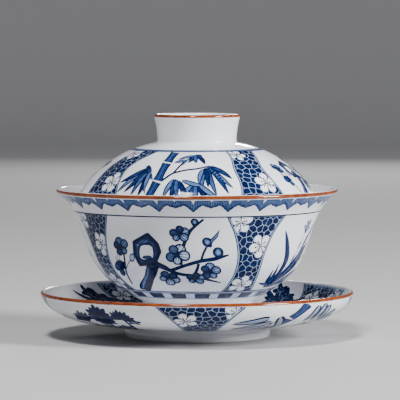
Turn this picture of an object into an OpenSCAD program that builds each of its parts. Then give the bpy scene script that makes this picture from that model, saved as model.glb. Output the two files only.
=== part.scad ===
// Gaiwan: a lidded porcelain tea bowl on its saucer.
// Three vessels that come apart: the saucer stands on the table, the bowl's foot ring stands in
// the saucer's well, and the lid's edge lies just inside the bowl's flared mouth.
// Every vessel is thrown on a wheel, so each sub-part is one outline turned round the Z axis.
// Origin: centre of the saucer's foot, on the table. Millimetres, +Z up.

/* [Bowl] */
// Outside diameter of the bowl's mouth
mouth_d = 103; // [101:0.5:105]
// Height of the bowl from its foot to its lip
bowl_h = 47.3; // [46.5:0.1:50]
// Outside diameter of the bowl's foot ring
bowl_foot_d = 40.4; // [38:0.2:42]
// Height of the bowl's foot ring below the bowl's body
bowl_foot_h = 6.1; // [5.4:0.1:6.8]
// Thickness of the bowl's wall at the foot
bowl_wall_low = 2.8; // [2.4:0.1:3]
// Thickness of the bowl's wall at the lip
bowl_wall_lip = 1.6; // [1.4:0.1:1.9]

/* [Lid] */
// Outside diameter of the lid's edge
lid_d = 89.6; // [87:0.2:89.8]
// Height from the lid's edge to the seat of its knob ring
lid_h = 22.9; // [21:0.1:26]
// Height of the lid's edge above the bowl's foot
lid_seat_h = 41.3; // [41.3:0.1:45]
// Thickness of the lid's shell
lid_wall = 2; // [1.8:0.1:2.3]
// Diameter of the knob ring at its neck
knob_neck_d = 29; // [27:0.2:31]
// Diameter of the knob ring at its lip
knob_lip_d = 31.4; // [30:0.2:34]
// Height of the knob ring
knob_h = 10.2; // [8:0.1:12]

/* [Saucer] */
// Outside diameter of the saucer's rim
saucer_d = 115; // [108:1:122]
// Height of the saucer from the table to its lip
saucer_h = 17; // [16:0.1:19]
// Outside diameter of the saucer's foot ring
saucer_foot_d = 54.4; // [52:0.2:57]
// Height of the saucer's foot ring
saucer_foot_h = 5.2; // [4.6:0.1:6]
// Thickness of the saucer at its floor
saucer_floor = 2.6; // [2.4:0.1:3]
// Thickness of the saucer at its lip
saucer_lip = 1.7; // [1.5:0.1:2]
// Depth of the well that the bowl's foot stands in
well_depth = 0.7; // [0.5:0.1:1]
// Play between the bowl's foot and the edge of the well
well_play = 1.8; // [1:0.1:2.4]

/* [Hidden] */
$fn = 128;
curve_steps = 22;      // straight steps in one curve of an outline
floor_steps = 8;       // straight steps in the gentle curve of a floor or a crown
lip_steps = 8;         // straight steps round a lip
foot_land = 1.3;       // width of the flat edge that a foot ring stands on
foot_round = 1.1;      // rounding of a foot ring's outer bottom edge
foot_wall = 3.4;       // thickness of a foot ring at its root
foot_draw = 0.4;       // how much narrower a foot ring is above its rounding than at its root
bead_h = 0.8;          // height of the bead round the top of the saucer's foot ring
bead_groove = 0.3;     // depth of the groove under that bead
bowl_floor = 2;        // thickness of the bowl's floor at its centre
knob_wall = 2.1;       // thickness of the knob ring at its neck
knob_lip = 1.6;        // thickness of the knob ring at its lip
knob_fillet = 0.8;     // fillet round the outside of the knob ring's root
crown_rise = 1;        // rise of the lid's crown inside the knob ring
white_glaze = [0.92, 0.93, 0.95];
brown_glaze = [0.50, 0.20, 0.08];

mouth_r = mouth_d / 2;
bowl_foot_r = bowl_foot_d / 2;
lid_r = lid_d / 2;
knob_neck_r = knob_neck_d / 2;
knob_lip_r = knob_lip_d / 2;
saucer_r = saucer_d / 2;
saucer_foot_r = saucer_foot_d / 2;
well_r = bowl_foot_r + well_play;
saucer_top_z = saucer_foot_h + saucer_floor;    // floor of the dish round the well
bowl_z = saucer_top_z - well_depth;             // the bowl's foot stands on the well's floor
lid_z = bowl_z + lid_seat_h;                    // lowest level of the lid's edge
knob_z = lid_z + lid_h;                         // seat of the knob ring on the lid

// ---- outlines: points are [radius, height] ----

function bezier(p, n = curve_steps) = [for (i = [0:n])
    let (t = i / n, u = 1 - t)
    u^3 * p[0] + 3 * u^2 * t * p[1] + 3 * u * t^2 * p[2] + t^3 * p[3]];

function reversed(p) = [for (i = [len(p) - 1:-1:0]) p[i]];
function without_first(p) = [for (i = [1:len(p) - 1]) p[i]];
function end_of(p) = p[len(p) - 1];

// Unit direction along an outline at one of its points
function heading(p, i) =
    let (d = p[min(i + 1, len(p) - 1)] - p[max(i - 1, 0)])
    d / norm(d);

// The outline moved to its left, by a distance that changes evenly from a to b
function moved_left(p, a, b) = [for (i = [0:len(p) - 1])
    let (d = heading(p, i), k = i / (len(p) - 1))
    p[i] + (a + (b - a) * k) * [-d[1], d[0]]];

// The rounded lip of a wall: half a turn from the end of one side to the end of the other
function lip(outside, inside) =
    let (
        centre = (end_of(outside) + end_of(inside)) / 2,
        half = end_of(outside) - centre,
        ahead = norm(half) * heading(outside, len(outside) - 1))
    [for (i = [0:lip_steps])
        let (t = 180 * i / lip_steps)
        centre + half * cos(t) + ahead * sin(t)];

// Quarter of a turn from the flat of a foot ring up to its outer wall
function foot_corner(land_edge) = [for (i = [1:6])
    [land_edge + foot_round * sin(15 * i), foot_round * (1 - cos(15 * i))]];

module turned(outline, tint) {
    color(tint) rotate_extrude() polygon(outline);
}

// ---- saucer ----

dish_under = bezier([
    [saucer_foot_r, saucer_foot_h],
    [0.79 * saucer_r, 0.25 * saucer_h],
    [0.96 * saucer_r, 0.56 * saucer_h],
    [0.998 * saucer_r, 0.93 * saucer_h]]);
dish_upper = moved_left(dish_under, saucer_floor, saucer_lip);

module saucer_dish() {
    turned(concat(
        [[0, saucer_foot_h]],
        dish_under,
        reversed(dish_upper),
        [[well_r + well_depth, saucer_top_z],
         [well_r + 0.3 * well_depth, saucer_top_z - 0.3 * well_depth],
         [well_r, bowl_z],
         [0, bowl_z]]), white_glaze);
}

module saucer_foot_ring() {
    root_in = saucer_foot_r - foot_wall - foot_draw;
    wall_top = saucer_foot_h - bead_h;
    bead_r = saucer_foot_r - 0.1;
    land_edge = saucer_foot_r - foot_draw - foot_round;
    turned(concat(
        [[root_in, saucer_foot_h],
         [root_in + 0.2, 0.6],
         [land_edge - foot_land, 0],
         [land_edge, 0]],
        foot_corner(land_edge),
        [[saucer_foot_r - 0.15, wall_top - 0.3],
         [saucer_foot_r - bead_groove, wall_top]],
        [for (i = [0:4]) [bead_r + 0.1 * sin(45 * i), wall_top + bead_h * (i + 0.5) / 5]],
        [[bead_r, saucer_foot_h]]), white_glaze);
}

module saucer_rim_band() {
    turned(lip(dish_under, dish_upper), brown_glaze);
}

// ---- bowl ----

bowl_waist = [0.765 * mouth_r, 0.505 * bowl_h];
bowl_outer = concat(
    bezier([
        [bowl_foot_r, bowl_foot_h],
        [0.573 * mouth_r, 0.235 * bowl_h],
        [0.705 * mouth_r, 0.332 * bowl_h],
        bowl_waist]),
    without_first(bezier([
        bowl_waist,
        [0.843 * mouth_r, 0.729 * bowl_h],
        [0.839 * mouth_r, 0.839 * bowl_h],
        [0.9945 * mouth_r, 0.971 * bowl_h]])));
bowl_inner = moved_left(bowl_outer, bowl_wall_low, bowl_wall_lip);

module bowl_body() {
    floor_h = bowl_foot_h + bowl_floor;
    edge = bowl_inner[0];
    down = -heading(bowl_inner, 0);
    translate([0, 0, bowl_z])
    turned(concat(
        [[0, bowl_foot_h]],
        bowl_outer,
        reversed(bowl_inner),
        without_first(bezier([
            edge,
            edge + down * (edge[1] - floor_h) / abs(down[1]),
            [0.55 * edge[0], floor_h],
            [0, floor_h]], floor_steps))), white_glaze);
}

module bowl_foot_ring() {
    root_in = bowl_foot_r - foot_wall;
    land_edge = bowl_foot_r - foot_draw - foot_round;
    translate([0, 0, bowl_z])
    turned(concat(
        [[root_in, bowl_foot_h],
         [root_in + 0.3, 0.6],
         [land_edge - foot_land, 0],
         [land_edge, 0]],
        foot_corner(land_edge),
        [[bowl_foot_r, bowl_foot_h]]), white_glaze);
}

module bowl_rim_band() {
    translate([0, 0, bowl_z]) turned(lip(bowl_outer, bowl_inner), brown_glaze);
}

// ---- lid ----

knob_root_r = knob_neck_r + knob_fillet;
dome_outer = bezier([
    [knob_root_r, lid_h],
    [0.627 * lid_r, 0.898 * lid_h],
    [0.9 * lid_r, 0.524 * lid_h],
    [0.988 * lid_r, 0.061 * lid_h]]);
dome_inner = moved_left(dome_outer, -lid_wall, -lid_wall);

module lid_dome() {
    crown_r = knob_neck_r - knob_wall - 0.3;
    under_rise = 0.9;
    edge = dome_inner[0];
    translate([0, 0, lid_z])
    turned(concat(
        bezier([
            [0, lid_h + crown_rise],
            [0.5 * crown_r, lid_h + crown_rise],
            [0.8 * crown_r, lid_h + 0.25 * crown_rise],
            [crown_r, lid_h]], floor_steps),
        dome_outer,
        reversed(dome_inner),
        without_first(bezier([
            edge,
            edge + [-0.3 * edge[0], 0.7 * under_rise],
            [0.3 * edge[0], edge[1] + under_rise],
            [0, edge[1] + under_rise]], floor_steps))), white_glaze);
}

knob_outer = bezier([
    [knob_neck_r, knob_fillet],
    [knob_neck_r, 0.35 * knob_h],
    [knob_neck_r + 0.4, 0.6 * knob_h],
    [knob_lip_r, 0.92 * knob_h]]);
knob_inner = moved_left(knob_outer, knob_wall, knob_lip);

module lid_knob_ring() {
    fillet = [for (i = [0:5])
        [knob_root_r - knob_fillet * sin(18 * i), knob_fillet * (1 - cos(18 * i))]];
    translate([0, 0, knob_z])
    turned(concat(
        fillet,
        without_first(knob_outer),
        reversed(knob_inner),
        [[knob_neck_r - knob_wall, 0]]), white_glaze);
}

module lid_knob_band() {
    translate([0, 0, knob_z]) turned(lip(knob_outer, knob_inner), brown_glaze);
}

module lid_edge_band() {
    translate([0, 0, lid_z]) turned(lip(dome_outer, dome_inner), brown_glaze);
}

saucer_dish();
saucer_foot_ring();
saucer_rim_band();
bowl_body();
bowl_foot_ring();
bowl_rim_band();
lid_dome();
lid_knob_ring();
lid_knob_band();
lid_edge_band();
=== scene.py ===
import bisect
import math
import random

import bpy
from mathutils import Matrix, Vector


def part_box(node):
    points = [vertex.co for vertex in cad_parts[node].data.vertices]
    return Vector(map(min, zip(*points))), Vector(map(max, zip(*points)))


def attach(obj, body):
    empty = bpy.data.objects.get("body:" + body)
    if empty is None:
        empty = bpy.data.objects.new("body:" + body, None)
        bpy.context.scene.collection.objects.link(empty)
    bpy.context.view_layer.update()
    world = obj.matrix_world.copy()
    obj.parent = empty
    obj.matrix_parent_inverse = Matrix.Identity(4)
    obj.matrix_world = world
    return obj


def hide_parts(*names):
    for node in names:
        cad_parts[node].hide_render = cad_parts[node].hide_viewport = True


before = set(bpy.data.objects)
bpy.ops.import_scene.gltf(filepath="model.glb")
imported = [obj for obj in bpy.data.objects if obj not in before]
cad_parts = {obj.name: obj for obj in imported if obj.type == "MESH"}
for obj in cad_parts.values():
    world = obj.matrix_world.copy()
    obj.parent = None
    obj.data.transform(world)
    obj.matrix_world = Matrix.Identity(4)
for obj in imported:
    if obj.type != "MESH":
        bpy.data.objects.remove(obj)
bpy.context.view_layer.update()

mm = 0.001
turnSteps = 256      # straight steps in one full turn of a thrown piece
curveSteps = 56      # straight steps in one curve of an outline
lipSteps = 28        # straight steps round a lip

view = {
    "distance": 1.171,
    "height": 0.115,
    "lookDown": 3.17,     # degrees
    "aside": 0.0011,      # the vessels stand a little left of the middle
    "lens": 288,
}

camera = bpy.data.objects.new("camera", bpy.data.cameras.new("camera"))
bpy.context.scene.collection.objects.link(camera)
camera.data.lens = view["lens"]
camera.data.sensor_width = 36
camera.data.clip_start = 0.05
camera.data.dof.use_dof = False
camera.location = (view["aside"], -view["distance"], view["height"])
camera.rotation_euler = (math.radians(90 - view["lookDown"]), 0, 0)
bpy.context.scene.camera = camera

studio = {
    "world": (0.78, 0.81, 0.86),
    "worldStrength": 0.13,
    "floor": (0.50, 0.50, 0.51),
    "floorRoughness": 0.9,
    "floorSize": 7.2,
    "floorSquares": 40,   # along each side
    "floorFlat": 1.9,     # radius that stays flat
    "floorSweep": 0.55,   # how steeply it is swept up beyond
    "aimHeight": 0.04,    # what the lights point at
    "lights": [
        # name, place, size across and up, watts, colour
        ("keyLight", (-0.20, -0.66, 1.15), (0.22, 0.22), 17.0, (1.0, 0.995, 0.985)),
        ("rightLight", (1.15, -0.60, 0.55), (0.40, 0.55), 40.0, (1.0, 0.995, 0.99)),
        ("leftLight", (-1.20, -0.30, 0.60), (0.30, 0.45), 0.8, (0.93, 0.96, 1.0)),
        ("backLight", (0.10, 1.45, 0.40), (0.12, 0.12), 2.5, (1.0, 1.0, 1.0)),
    ],
}


def deselectAll():
    if bpy.context.object and bpy.context.object.mode != "OBJECT":
        bpy.ops.object.mode_set(mode="OBJECT")
    bpy.ops.object.select_all(action="DESELECT")


def setStudio():
    world = bpy.data.worlds.new("studioWorld")
    world.use_nodes = True
    background = world.node_tree.nodes["Background"]
    background.inputs["Color"].default_value = (*studio["world"], 1)
    background.inputs["Strength"].default_value = studio["worldStrength"]
    bpy.context.scene.world = world
    for name, place, size, watts, colour in studio["lights"]:
        light = bpy.data.lights.new(name, "AREA")
        light.shape = "RECTANGLE"
        light.size, light.size_y = size
        light.energy = watts
        light.color = colour
        lamp = bpy.data.objects.new(name, light)
        lamp.location = place
        aim = Vector((0, 0, studio["aimHeight"])) - Vector(place)
        lamp.rotation_euler = aim.to_track_quat("-Z", "Y").to_euler()
        bpy.context.scene.collection.objects.link(lamp)
    deselectAll()
    squares = studio["floorSquares"]
    bpy.ops.mesh.primitive_grid_add(x_subdivisions=squares, y_subdivisions=squares, size=studio["floorSize"])
    floor = bpy.context.object
    floor.name = "studioFloor"
    for vertex in floor.data.vertices:
        away = math.hypot(vertex.co.x, vertex.co.y)
        vertex.co.z = studio["floorSweep"] * max(0, away - studio["floorFlat"]) ** 2
    bpy.ops.object.shade_smooth()
    paint = bpy.data.materials.new("studioFloorPaint")
    paint.use_nodes = True
    shader = paint.node_tree.nodes["Principled BSDF"]
    shader.inputs["Base Color"].default_value = (*studio["floor"], 1)
    shader.inputs["Roughness"].default_value = studio["floorRoughness"]
    floor.data.materials.append(paint)


setStudio()
print("studio is set")


def bezier(p, steps=curveSteps):
    points = []
    for i in range(steps + 1):
        t = i / steps
        u = 1 - t
        k = (u ** 3, 3 * u * u * t, 3 * u * t * t, t ** 3)
        points.append((sum(k[j] * p[j][0] for j in range(4)), sum(k[j] * p[j][1] for j in range(4))))
    return points


def heading(points, i):
    a, b = points[max(i - 1, 0)], points[min(i + 1, len(points) - 1)]
    length = math.hypot(b[0] - a[0], b[1] - a[1])
    return (b[0] - a[0]) / length, (b[1] - a[1]) / length


def movedLeft(points, atStart, atEnd):
    moved = []
    for i, (r, z) in enumerate(points):
        along, up = heading(points, i)
        wall = atStart + (atEnd - atStart) * i / (len(points) - 1)
        moved.append((r - wall * up, z + wall * along))
    return moved


def lip(outside, inside):
    (r1, z1), (r2, z2) = outside[-1], inside[-1]
    centre = ((r1 + r2) / 2, (z1 + z2) / 2)
    half = (r1 - centre[0], z1 - centre[1])
    along, up = heading(outside, len(outside) - 1)
    reach = math.hypot(*half)
    points = []
    for i in range(lipSteps + 1):
        t = math.pi * i / lipSteps
        points.append((
            centre[0] + half[0] * math.cos(t) + along * reach * math.sin(t),
            centre[1] + half[1] * math.cos(t) + up * reach * math.sin(t)))
    return points


def footCorner(landEdge, rounding, z0, steps=10):
    corner = []
    for i in range(1, steps + 1):
        t = math.pi / 2 * i / steps
        corner.append((landEdge + rounding * math.sin(t), z0 + rounding * (1 - math.cos(t))))
    return corner


def scaled(points, r, z, z0):
    return [(a * r, z0 + b * z) for a, b in points]


def low(node):
    return Vector(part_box(node)[0])


def high(node):
    return Vector(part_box(node)[1])


# sizes that a node's box shows are read off the frame, and the rest repeat the design's
pastBox = 0.00004      # the saucer is drawn from a radius this much over that of its rim's box
underCrest = 0.00005   # the bowl is drawn from a height this much under the crest of its lip
saucer = {
    "footR": high("saucer_foot_ring").x,
    "footTop": high("saucer_foot_ring").z,
    "rimR": high("saucer_rim_band").x + pastBox,
    "height": high("saucer_rim_band").z,
    "floor": 2.6 * mm,
    "lipWall": 1.7 * mm,
    "wellDepth": 0.7 * mm,
    "wellPlay": 1.8 * mm,
    "footWall": 3.8 * mm,
    "footSlant": 0.2 * mm,
    "beadHeight": 0.8 * mm,
    "beadGroove": 0.3 * mm,
    "beadSteps": 8,
}
bowl = {
    "footR": high("bowl_foot_ring").x,
    "footZ": low("bowl_foot_ring").z,
    "footTop": high("bowl_foot_ring").z,
    "mouthR": high("bowl_rim_band").x,
    "height": high("bowl_rim_band").z - low("bowl_foot_ring").z - underCrest,
    "wallLow": 2.8 * mm,
    "wallLip": 1.6 * mm,
    "floor": 2.0 * mm,
    "footWall": 3.4 * mm,
    "footSlant": 0.3 * mm,
}
lidPart = {
    "edgeR": 44.8 * mm,
    "edgeZ": 48.4 * mm,
    "knobZ": low("lid_knob_ring").z,
    "wall": 2.0 * mm,
    "neckR": 14.5 * mm,
    "lipR": high("lid_knob_band").x,
    "fillet": 0.8 * mm,
    "knobH": 10.2 * mm,
    "knobWall": 2.1 * mm,
    "knobLip": 1.6 * mm,
    "crownRise": 1.0 * mm,
}


def outlineOfWall(shape):
    if shape == "saucer":
        outer = bezier([(saucer["footR"], saucer["footTop"])] + scaled(
            ((0.79, 0.25), (0.96, 0.56), (0.998, 0.93)), saucer["rimR"], saucer["height"], 0))
        return outer, movedLeft(outer, saucer["floor"], saucer["lipWall"])
    if shape == "bowl":
        waist = (0.765, 0.505)
        lower = [(bowl["footR"], bowl["footTop"])] + scaled(
            ((0.573, 0.235), (0.705, 0.332), waist), bowl["mouthR"], bowl["height"], bowl["footZ"])
        upper = scaled(
            (waist, (0.843, 0.729), (0.839, 0.839), (0.9945, 0.971)),
            bowl["mouthR"], bowl["height"], bowl["footZ"])
        outer = bezier(lower) + bezier(upper)[1:]
        return outer, movedLeft(outer, bowl["wallLow"], bowl["wallLip"])
    if shape == "lid":
        rise = lidPart["knobZ"] - lidPart["edgeZ"]
        outer = bezier([(lidPart["neckR"] + lidPart["fillet"], lidPart["knobZ"])] + scaled(
            ((0.627, 0.898), (0.9, 0.524), (0.988, 0.061)), lidPart["edgeR"], rise, lidPart["edgeZ"]))
        return outer, movedLeft(outer, -lidPart["wall"], -lidPart["wall"])
    neck, lipR, knobH = lidPart["neckR"], lidPart["lipR"], lidPart["knobH"]
    z = lidPart["knobZ"]
    outer = bezier([
        (neck, z + lidPart["fillet"]), (neck, z + 0.35 * knobH),
        (neck + 0.4 * mm, z + 0.6 * knobH), (lipR, z + 0.92 * knobH)])
    return outer, movedLeft(outer, lidPart["knobWall"], lidPart["knobLip"])


def thrown(name, outline, material, body):
    deselectAll()
    bpy.ops.mesh.primitive_circle_add(vertices=len(outline), radius=10 * mm, fill_type="NOTHING")
    piece = bpy.context.object
    piece.name = piece.data.name = name
    for vertex, (r, z) in zip(piece.data.vertices, outline):
        vertex.co = (0, max(r, 0), z)
    bpy.ops.object.mode_set(mode="EDIT")
    bpy.ops.mesh.select_mode(type="EDGE")
    bpy.ops.mesh.select_all(action="DESELECT")
    bpy.ops.object.mode_set(mode="OBJECT")
    onAxis = [v.index for v in piece.data.vertices if v.co.y < 1e-6]
    for edge in piece.data.edges:      # the edge along the axis would leave a needle inside
        edge.select = all(v in onAxis for v in edge.vertices)
    bpy.ops.object.mode_set(mode="EDIT")
    bpy.ops.mesh.delete(type="EDGE")
    bpy.ops.mesh.select_all(action="SELECT")
    bpy.ops.mesh.spin(steps=turnSteps, angle=2 * math.pi, center=(0, 0, 0), axis=(0, 0, 1))
    bpy.ops.mesh.select_all(action="SELECT")
    bpy.ops.mesh.remove_doubles(threshold=2e-6)
    bpy.ops.mesh.normals_make_consistent(inside=False)
    bpy.ops.object.mode_set(mode="OBJECT")
    bpy.ops.object.shade_smooth_by_angle(angle=math.radians(38))
    piece.data.materials.clear()
    piece.data.materials.append(material)
    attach(piece, body)
    return piece


def newMaterial(name):
    material = bpy.data.materials.new(name)
    material.use_nodes = True
    tree = material.node_tree
    shader = tree.nodes["Principled BSDF"]
    shader.inputs["IOR"].default_value = 1.52
    coordinates = tree.nodes.new("ShaderNodeTexCoord")
    return material, tree, shader, coordinates.outputs["Object"]


def noise(tree, place, size, detail=3.0, roughness=0.5):
    node = tree.nodes.new("ShaderNodeTexNoise")
    node.inputs["Scale"].default_value = 1 / size
    node.inputs["Detail"].default_value = detail
    node.inputs["Roughness"].default_value = roughness
    tree.links.new(place, node.inputs["Vector"])
    return node.outputs["Fac"]


def mathNode(tree, operation, a, b=0.0, c=0.0, clamp=False):
    node = tree.nodes.new("ShaderNodeMath")
    node.operation = operation
    node.use_clamp = clamp
    for i, value in enumerate((a, b, c)):
        if isinstance(value, (int, float)):
            node.inputs[i].default_value = value
        else:
            tree.links.new(value, node.inputs[i])
    return node.outputs[0]


def ramp(tree, value, stops):
    node = tree.nodes.new("ShaderNodeValToRGB")
    elements = node.color_ramp.elements
    while len(elements) < len(stops):
        elements.new(0.5)
    for element, (position, colour) in zip(elements, stops):
        element.position = position
        element.color = (*colour, 1)
    tree.links.new(value, node.inputs["Fac"])
    return node.outputs["Color"]


def mixColour(tree, factor, a, b):
    node = tree.nodes.new("ShaderNodeMix")
    node.data_type = "RGBA"
    for socket, value in ((node.inputs[0], factor), (node.inputs[6], a), (node.inputs[7], b)):
        if isinstance(value, tuple):
            socket.default_value = (*value, 1)
        elif isinstance(value, float):
            socket.default_value = value
        else:
            tree.links.new(value, socket)
    return node.outputs[2]


def mapRange(tree, value, fromLow, fromHigh, toLow, toHigh):
    node = tree.nodes.new("ShaderNodeMapRange")
    node.interpolation_type = "SMOOTHSTEP"
    tree.links.new(value, node.inputs["Value"])
    for name, number in (
            ("From Min", fromLow), ("From Max", fromHigh), ("To Min", toLow), ("To Max", toHigh)):
        node.inputs[name].default_value = number
    return node.outputs["Result"]


def glazeSurface(tree, shader, place, gloss=0.07, peel=0.05):
    fine = noise(tree, place, 0.9 * mm, 2.0)
    slow = noise(tree, place, 9 * mm, 1.0)
    level = mathNode(tree, "MULTIPLY_ADD", fine, 0.16, slow)
    bump = tree.nodes.new("ShaderNodeBump")
    bump.inputs["Strength"].default_value = peel
    bump.inputs["Distance"].default_value = 0.4 * mm
    tree.links.new(level, bump.inputs["Height"])
    tree.links.new(bump.outputs["Normal"], shader.inputs["Normal"])
    tree.links.new(mapRange(tree, slow, 0.3, 0.7, gloss * 0.7, gloss * 1.4), shader.inputs["Roughness"])


porcelain = {
    "clear": (0.800, 0.813, 0.862),
    "deep": (0.742, 0.765, 0.826),
    "speck": (0.42, 0.36, 0.30),
    "biscuit": (0.72, 0.64, 0.53),
    "brownDark": (0.080, 0.013, 0.003),
    "brown": (0.185, 0.034, 0.006),
    "brownThin": (0.28, 0.066, 0.014),
}


def whiteColour(tree, place):
    pool = noise(tree, place, 14 * mm, 2.0)
    white = ramp(tree, pool, ((0.35, porcelain["clear"]), (0.75, porcelain["deep"])))
    specks = noise(tree, place, 0.55 * mm, 1.0)
    return mixColour(tree, mapRange(tree, specks, 0.81, 0.86, 0.0, 0.6), white, porcelain["speck"])


def makeWhiteGlaze(name, footZ=None):
    # white glaze, bare clay where a foot stands
    material, tree, shader, place = newMaterial(name)
    colour = whiteColour(tree, place)
    glazeSurface(tree, shader, place)
    if footZ is not None:
        split = tree.nodes.new("ShaderNodeSeparateXYZ")
        tree.links.new(place, split.inputs[0])
        wavy = mathNode(tree, "MULTIPLY_ADD", noise(tree, place, 4 * mm), 0.3 * mm, split.outputs[2])
        bare = mapRange(tree, wavy, footZ + 0.38 * mm, footZ + 0.48 * mm, 1.0, 0.0)
        grain = mapRange(tree, noise(tree, place, 0.35 * mm, 4.0, 0.7), 0.35, 0.7, 0.0, 0.5)
        clay = mixColour(tree, grain, porcelain["biscuit"], porcelain["speck"])
        colour = mixColour(tree, bare, colour, clay)
        gloss = shader.inputs["Roughness"].links[0].from_socket
        tree.links.new(mathNode(tree, "MULTIPLY_ADD", bare, 0.6, gloss), shader.inputs["Roughness"])
    tree.links.new(colour, shader.inputs["Base Color"])
    return material


def makeBrownGlaze(name, wall, lowest=0.02 * mm):
    # iron brown brushed over the outside and crest of a lip, the white glaze showing on its inner side
    (r1, z1), (r2, z2) = wall[0][-1], wall[1][-1]
    half = math.hypot(r1 - r2, z1 - z2) / 2
    outward = ((r1 - r2) / 2 / half, (z1 - z2) / 2 / half)
    beyond = heading(wall[0], len(wall[0]) - 1)
    material, tree, shader, place = newMaterial(name)
    split = tree.nodes.new("ShaderNodeSeparateXYZ")
    tree.links.new(place, split.inputs[0])
    x, y, z = split.outputs
    around = mathNode(tree, "ADD", mathNode(tree, "MULTIPLY", x, x), mathNode(tree, "MULTIPLY", y, y))
    dr = mathNode(tree, "SUBTRACT", mathNode(tree, "SQRT", around), (r1 + r2) / 2)
    dz = mathNode(tree, "SUBTRACT", z, (z1 + z2) / 2)
    shake = mathNode(tree, "MULTIPLY_ADD", noise(tree, place, 1.8 * mm, 3.0), 0.36 * mm, -0.18 * mm)

    def measured(direction):
        return mathNode(tree, "ADD", shake, mathNode(
            tree, "MULTIPLY_ADD", dr, direction[0], mathNode(tree, "MULTIPLY", dz, direction[1])))

    outside = mapRange(tree, measured(outward), -0.42 * half, -0.22 * half, 0.0, 1.0)
    onLip = mapRange(tree, measured(beyond), lowest, lowest + 0.12 * mm, 0.0, 1.0)
    patches = noise(tree, place, 3.5 * mm, 4.0, 0.6)
    iron = ramp(tree, patches, (
        (0.25, porcelain["brownDark"]), (0.47, porcelain["brown"]), (0.78, porcelain["brownThin"])))
    glazeSurface(tree, shader, place, gloss=0.10)
    share = mathNode(tree, "MULTIPLY", outside, onLip)
    tree.links.new(mixColour(tree, share, whiteColour(tree, place), iron), shader.inputs["Base Color"])
    return material


inkStops = (
    # how much cobalt is in the brush, and the colour it fires to
    (0.00, (0.800, 0.813, 0.862)),
    (0.16, (0.42, 0.51, 0.66)),
    (0.36, (0.125, 0.205, 0.400)),
    (0.58, (0.026, 0.064, 0.195)),
    (0.80, (0.0050, 0.0165, 0.080)),
    (1.00, (0.0016, 0.0055, 0.034)),
)


def makeCobalt(name):
    material, tree, shader, place = newMaterial(name)
    ink = tree.nodes.new("ShaderNodeAttribute")
    ink.attribute_name = "ink"
    # low, so that the deep blues stay deep in pale surroundings
    shader.inputs["Specular IOR Level"].default_value = 0.13
    soaked = noise(tree, place, 1.3 * mm, 4.0, 0.65)
    heaped = noise(tree, place, 0.4 * mm, 2.0)
    uneven = mathNode(tree, "ADD", mapRange(tree, soaked, 0.25, 0.75, 0.82, 1.12),
                      mapRange(tree, heaped, 0.55, 0.8, 0.0, 0.14))
    level = mathNode(tree, "MULTIPLY", ink.outputs["Fac"], uneven, clamp=True)
    glazeSurface(tree, shader, place)
    tree.links.new(ramp(tree, level, inkStops), shader.inputs["Base Color"])
    return material


saucerWall = outlineOfWall("saucer")
bowlWall = outlineOfWall("bowl")
lidWall = outlineOfWall("lid")
knobWall = outlineOfWall("knob")

saucerGlaze = makeWhiteGlaze("saucerWhiteGlaze")
bowlGlaze = makeWhiteGlaze("bowlWhiteGlaze")
lidGlaze = makeWhiteGlaze("lidWhiteGlaze")
knobGlaze = makeWhiteGlaze("knobWhiteGlaze")
saucerFootGlaze = makeWhiteGlaze("saucerFootGlaze", footZ=0.0)
bowlFootGlaze = makeWhiteGlaze("bowlFootGlaze", footZ=bowl["footZ"])
cobalt = makeCobalt("cobaltUnderGlaze")


def backwards(points):
    return list(reversed(points))


foot = {
    "land": 1.3 * mm,        # the flat edge that a ring stands on
    "rounding": 1.1 * mm,    # its outer bottom corner
    "draw": 0.4 * mm,        # how much narrower it is there than at its root
    "slantHeight": 0.6 * mm,
}


def footRing(root, wall, z0, z1, r, slant):
    edge = r - foot["draw"] - foot["rounding"]
    return ([(r - wall, z1), (r - wall + slant, z0 + foot["slantHeight"]), (edge - foot["land"], z0),
             (edge, z0)]
            + footCorner(edge, foot["rounding"], z0) + root)


def throwSaucer():
    outer, inner = saucerWall
    top = saucer["footTop"] + saucer["floor"]
    depth = saucer["wellDepth"]
    wellR = bowl["footR"] + saucer["wellPlay"]
    well = [(wellR + depth + 0.4 * mm, top), (wellR + depth, top - 0.02 * mm)]
    well += [(wellR + depth * (1 - math.sin(t)), top - depth * (1 - math.cos(t)))
             for t in (math.radians(a) for a in (20, 38, 54, 70, 84))]
    well += [(wellR, top - depth), (0.6 * wellR, top - depth), (0, top - depth)]
    dish = thrown("saucerDish", [(0, saucer["footTop"])] + outer + backwards(inner) + well,
                  saucerGlaze, "saucer")
    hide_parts("saucer_dish")
    z1 = saucer["footTop"]
    footR = saucer["footR"]
    wallTop = z1 - saucer["beadHeight"]
    groove = saucer["beadGroove"]
    bead = [(footR - 0.15 * mm, wallTop - 0.35 * mm), (footR - 0.28 * mm, wallTop - 0.1 * mm)]
    for i in range(saucer["beadSteps"] + 1):
        t = math.pi * i / saucer["beadSteps"]
        up = 0.75 * mm * (i + 0.5) / (saucer["beadSteps"] + 1)
        bead.append((footR - groove + groove * math.sin(t), wallTop + up))
    bead.append((footR - 0.1 * mm, z1))
    ring = thrown("saucerFootRing", footRing(bead, saucer["footWall"], 0.0, z1, footR, saucer["footSlant"]),
                  saucerFootGlaze, "saucer")
    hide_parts("saucer_foot_ring")
    band = thrown("saucerRimBand", lip(*saucerWall),
                  makeBrownGlaze("saucerBrownGlaze", saucerWall), "saucer")
    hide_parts("saucer_rim_band")


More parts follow.
